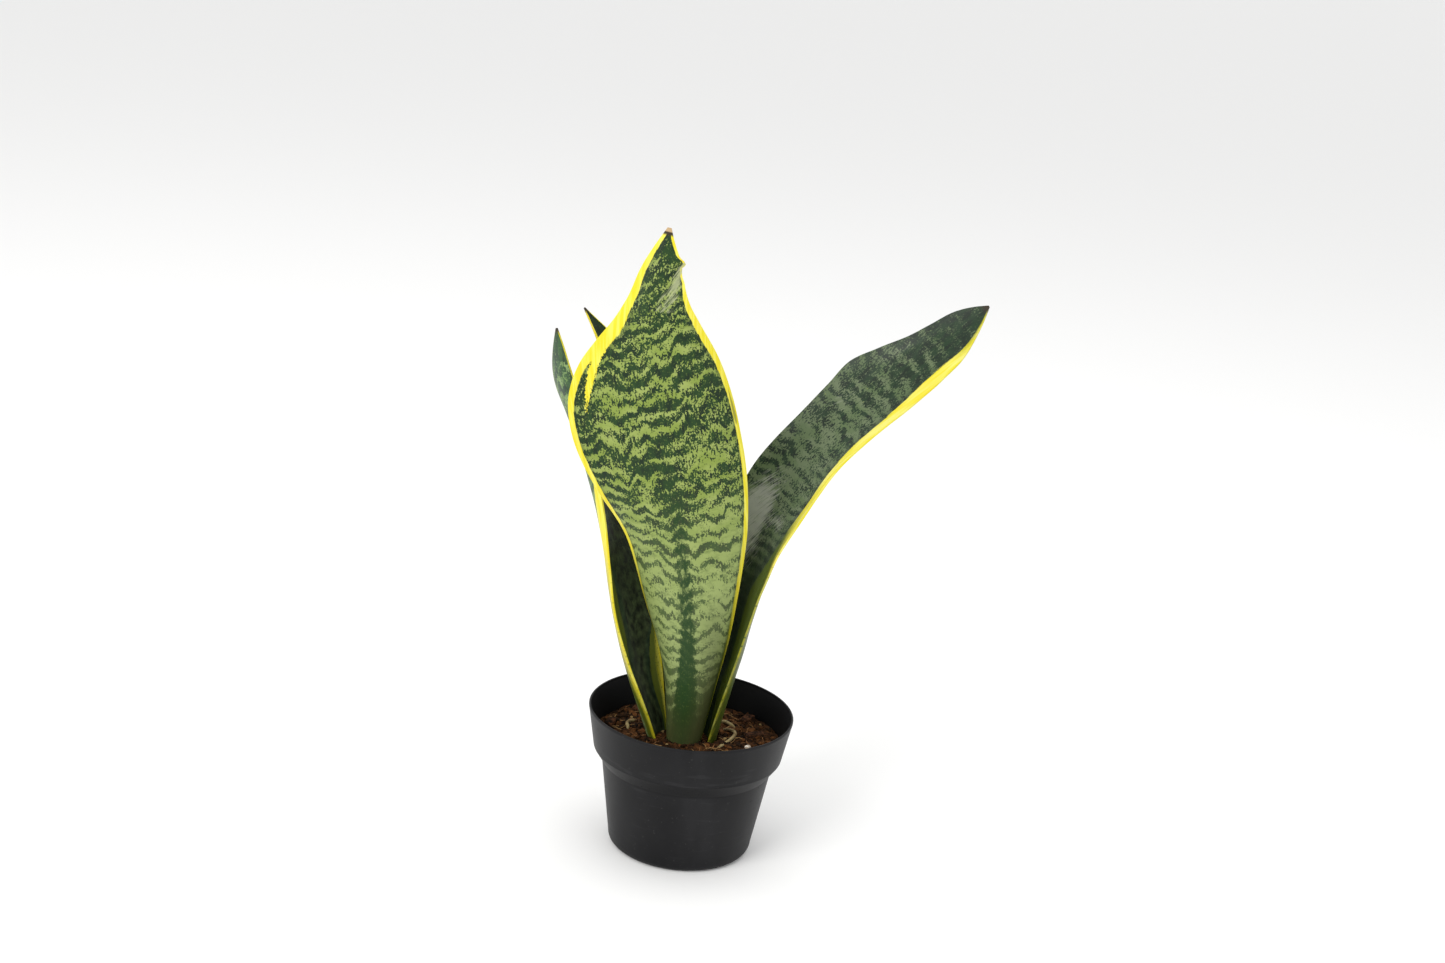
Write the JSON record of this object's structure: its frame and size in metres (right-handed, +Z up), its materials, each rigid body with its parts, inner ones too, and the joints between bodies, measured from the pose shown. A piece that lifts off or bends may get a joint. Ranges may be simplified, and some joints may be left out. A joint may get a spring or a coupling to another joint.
{
  "type": "potted snake plant",
  "caption": "Young variegated snake plant with upright channelled leaves in a black plastic nursery pot of potting mix.",
  "frame": {"origin": "middle of the flat underside of the pot, on the surface it stands on", "axes": "+Z up along the axis of the pot; -Y towards the front, where the widest leaf shows its back; +X to the right of that view"},
  "size_m": [0.248, 0.12, 0.3703],
  "materials": {
    "pot_plastic": "moulded black polypropylene, satin, a little dusty",
    "potting_mix": "loose reddish-brown coir and bark mix",
    "rhizome_skin": "smooth tan-orange rhizome and roots",
    "leaf_blade": "thick waxy leaf, dark green with pale cross bands and yellow margins",
    "dry_root": "dry tan root",
    "husk": "rough coconut husk chip",
    "perlite": "matte pale grain"
  },
  "bodies": {
    "root": {"nursery_pot": "pot_plastic", "potting_mix": "potting_mix", "rhizome": "rhizome_skin", "leaf_front": "leaf_blade", "leaf_right": "leaf_blade", "leaf_left": "leaf_blade", "leaf_back": "leaf_blade", "root_strand_1": "dry_root", "root_strand_2": "dry_root", "root_strand_3": "dry_root", "husk_chip_1": "husk", "husk_chip_2": "husk", "husk_chip_3": "husk", "husk_chip_4": "husk", "husk_chip_5": "husk", "husk_chip_6": "husk", "husk_chip_7": "husk", "husk_chip_8": "husk", "husk_chip_9": "husk", "husk_chip_10": "husk", "perlite_1": "perlite", "perlite_2": "perlite", "perlite_3": "perlite"}
  },
  "joints": []
}
